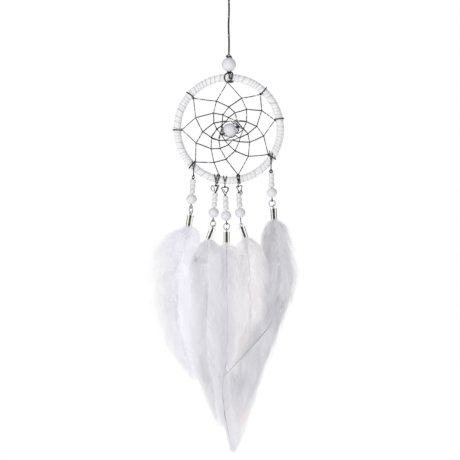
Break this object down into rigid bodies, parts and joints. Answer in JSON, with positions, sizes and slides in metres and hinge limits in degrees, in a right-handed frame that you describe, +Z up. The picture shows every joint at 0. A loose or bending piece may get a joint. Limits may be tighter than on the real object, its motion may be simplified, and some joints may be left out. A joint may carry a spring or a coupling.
{
  "type": "dream catcher",
  "caption": "Dream catcher: a lace-wrapped hoop with a knotted web and a bead, beaded pendants with jump rings, end caps and white plumes, hung from a looped cord.",
  "frame": {"origin": "the top of the hanging loop, where a hook holds it", "axes": "+Z up, along the hanging cord; the web lies in the XZ plane and its front looks towards -Y"},
  "size_m": [0.0838, 0.0202, 0.2813],
  "materials": {
    "black_cord": "twisted two-ply black cord with silver flecks, satin",
    "web_thread": "fine black thread twisted with a silver strand",
    "bead": "white stone-like bead, soft satin, a little lilac",
    "seed_bead": "opaque white glass seed bead, glossy",
    "hoop_wire": "plain drawn steel wire",
    "lace": "white flat suede lace, matt, fuzzy edge",
    "silver": "polished silver plating",
    "white_plume": "white down, soft and translucent",
    "grey_plume": "white down with a grey shade, soft and translucent"
  },
  "bodies": {
    "hanger": {"hanging_loop": "black_cord"},
    "cord": {"hanging_cord": "black_cord"},
    "top_bead": {"top_bead": "bead"},
    "hitch": {"hoop_hitch": "black_cord"},
    "hoop": {"hoop_ring": "hoop_wire", "hoop_wrap": "lace", "web_thread": "web_thread", "pendant_1_hitch": "black_cord", "pendant_2_hitch": "black_cord", "pendant_3_hitch": "black_cord", "pendant_4_hitch": "black_cord", "pendant_5_hitch": "black_cord"},
    "center_bead": {"center_bead": "bead"},
    "strand_1": {"pendant_1_cord": "black_cord", "pendant_1_seed_1": "seed_bead", "pendant_1_seed_2": "seed_bead", "pendant_1_seed_3": "seed_bead"},
    "bead_1": {"pendant_1_bead": "bead"},
    "ring_1": {"pendant_1_jump_ring": "silver"},
    "cap_1": {"pendant_1_end_cap": "silver", "pendant_1_feather": "white_plume"},
    "strand_2": {"pendant_2_cord": "black_cord", "pendant_2_seed_1": "seed_bead", "pendant_2_seed_2": "seed_bead", "pendant_2_seed_3": "seed_bead"},
    "bead_2": {"pendant_2_bead": "bead"},
    "ring_2": {"pendant_2_jump_ring": "silver"},
    "cap_2": {"pendant_2_end_cap": "silver", "pendant_2_feather": "white_plume"},
    "strand_3": {"pendant_3_cord": "black_cord", "pendant_3_seed_1": "seed_bead", "pendant_3_seed_2": "seed_bead", "pendant_3_seed_3": "seed_bead"},
    "bead_3": {"pendant_3_bead": "bead"},
    "ring_3": {"pendant_3_jump_ring": "silver"},
    "cap_3": {"pendant_3_end_cap": "silver", "pendant_3_feather": "white_plume"},
    "strand_4": {"pendant_4_cord": "black_cord", "pendant_4_seed_1": "seed_bead", "pendant_4_seed_2": "seed_bead", "pendant_4_seed_3": "seed_bead"},
    "bead_4": {"pendant_4_bead": "bead"},
    "cap_4": {"pendant_4_end_cap": "silver", "pendant_4_feather": "white_plume"},
    "strand_5": {"pendant_5_cord": "black_cord", "pendant_5_seed_1": "seed_bead", "pendant_5_seed_2": "seed_bead", "pendant_5_seed_3": "seed_bead"},
    "bead_5": {"pendant_5_bead": "bead"},
    "ring_5": {"pendant_5_jump_ring": "silver"},
    "cap_5": {"pendant_5_end_cap": "silver", "pendant_5_feather": "grey_plume"}
  },
  "joints": [
    {"name": "cord_sway", "type": "hinge", "parent": "hanger", "child": "cord", "pos_m": [0, 0, -0.02228], "axis": [0, 1, 0], "range_deg": [-30, 30]},
    {"name": "top_bead_spin", "type": "hinge", "parent": "cord", "child": "top_bead", "pos_m": [0, 0, -0.06285], "axis": [0, 0, 1], "continuous": true},
    {"name": "hitch_twist", "type": "hinge", "parent": "cord", "child": "hitch", "pos_m": [0, 0, -0.0701], "axis": [0, 0, 1], "continuous": true},
    {"name": "hoop_swing", "type": "hinge", "parent": "hitch", "child": "hoop", "pos_m": [0, 0, -0.0701], "axis": [1, 0, 0], "range_deg": [-25, 25]},
    {"name": "center_bead_spin", "type": "hinge", "parent": "hoop", "child": "center_bead", "pos_m": [0.0005, 0, -0.0999], "axis": [0.8862, 0, 0.4633], "continuous": true},
    {"name": "strand_1_swing", "type": "hinge", "parent": "hoop", "child": "strand_1", "pos_m": [-0.0199, 0, -0.12542], "axis": [1, 0, 0], "range_deg": [-35, 35], "deforming": ["pendant_1_feather"]},
    {"name": "bead_1_spin", "type": "hinge", "parent": "strand_1", "child": "bead_1", "pos_m": [-0.02099, 0, -0.13865], "axis": [0.0819, 0, 0.9966], "continuous": true},
    {"name": "ring_1_swing", "type": "hinge", "parent": "strand_1", "child": "ring_1", "pos_m": [-0.02134, 0, -0.14294], "axis": [0.5, 0.866, 0], "range_deg": [-30, 30]},
    {"name": "cap_1_sway", "type": "hinge", "parent": "ring_1", "child": "cap_1", "pos_m": [-0.02134, 0, -0.14474], "axis": [-0.866, 0.5, 0], "range_deg": [-25, 25]},
    {"name": "strand_2_swing", "type": "hinge", "parent": "hoop", "child": "strand_2", "pos_m": [-0.0073, 0, -0.13109], "axis": [1, 0, 0], "range_deg": [-35, 35], "deforming": ["pendant_2_feather"]},
    {"name": "bead_2_spin", "type": "hinge", "parent": "strand_2", "child": "bead_2", "pos_m": [-0.00858, 0, -0.14631], "axis": [0.0837, 0, 0.9965], "continuous": true},
    {"name": "ring_2_swing", "type": "hinge", "parent": "strand_2", "child": "ring_2", "pos_m": [-0.00894, 0, -0.1506], "axis": [0.766, 0.6428, 0], "range_deg": [-30, 30]},
    {"name": "cap_2_sway", "type": "hinge", "parent": "ring_2", "child": "cap_2", "pos_m": [-0.00894, 0, -0.1524], "axis": [-0.6428, 0.766, 0], "range_deg": [-25, 25]},
    {"name": "strand_3_swing", "type": "hinge", "parent": "hoop", "child": "strand_3", "pos_m": [-0.0022, 0, -0.13183], "axis": [1, 0, 0], "range_deg": [-35, 35], "deforming": ["pendant_3_feather"]},
    {"name": "bead_3_spin", "type": "hinge", "parent": "strand_3", "child": "bead_3", "pos_m": [-0.00144, 0, -0.148], "axis": [-0.0471, 0, 0.9989], "continuous": true},
    {"name": "ring_3_swing", "type": "hinge", "parent": "strand_3", "child": "ring_3", "pos_m": [-0.00123, 0, -0.15229], "axis": [0.9397, 0.342, 0], "range_deg": [-30, 30]},
    {"name": "cap_3_sway", "type": "hinge", "parent": "ring_3", "child": "cap_3", "pos_m": [-0.00123, 0, -0.15409], "axis": [-0.342, 0.9397, 0], "range_deg": [-25, 25]},
    {"name": "strand_4_swing", "type": "hinge", "parent": "hoop", "child": "strand_4", "pos_m": [0.00525, 0, -0.13148], "axis": [1, 0, 0], "range_deg": [-35, 35], "deforming": ["pendant_4_feather"]},
    {"name": "bead_4_spin", "type": "hinge", "parent": "strand_4", "child": "bead_4", "pos_m": [0.00637, 0, -0.14638], "axis": [-0.075, 0, 0.9972], "continuous": true},
    {"name": "cap_4_sway", "type": "hinge", "parent": "strand_4", "child": "cap_4", "pos_m": [0.00681, 0, -0.15306], "axis": [0, 1, 0], "range_deg": [-25, 25]},
    {"name": "strand_5_swing", "type": "hinge", "parent": "hoop", "child": "strand_5", "pos_m": [0.0238, 0, -0.12232], "axis": [1, 0, 0], "range_deg": [-35, 35], "deforming": ["pendant_5_feather"]},
    {"name": "bead_5_spin", "type": "hinge", "parent": "strand_5", "child": "bead_5", "pos_m": [0.02424, 0, -0.13496], "axis": [-0.0349, 0, 0.9994], "continuous": true},
    {"name": "ring_5_swing", "type": "hinge", "parent": "strand_5", "child": "ring_5", "pos_m": [0.02439, 0, -0.13926], "axis": [0.9659, 0.2588, 0], "range_deg": [-30, 30]},
    {"name": "cap_5_sway", "type": "hinge", "parent": "ring_5", "child": "cap_5", "pos_m": [0.02439, 0, -0.14106], "axis": [-0.2588, 0.9659, 0], "range_deg": [-25, 25]}
  ]
}
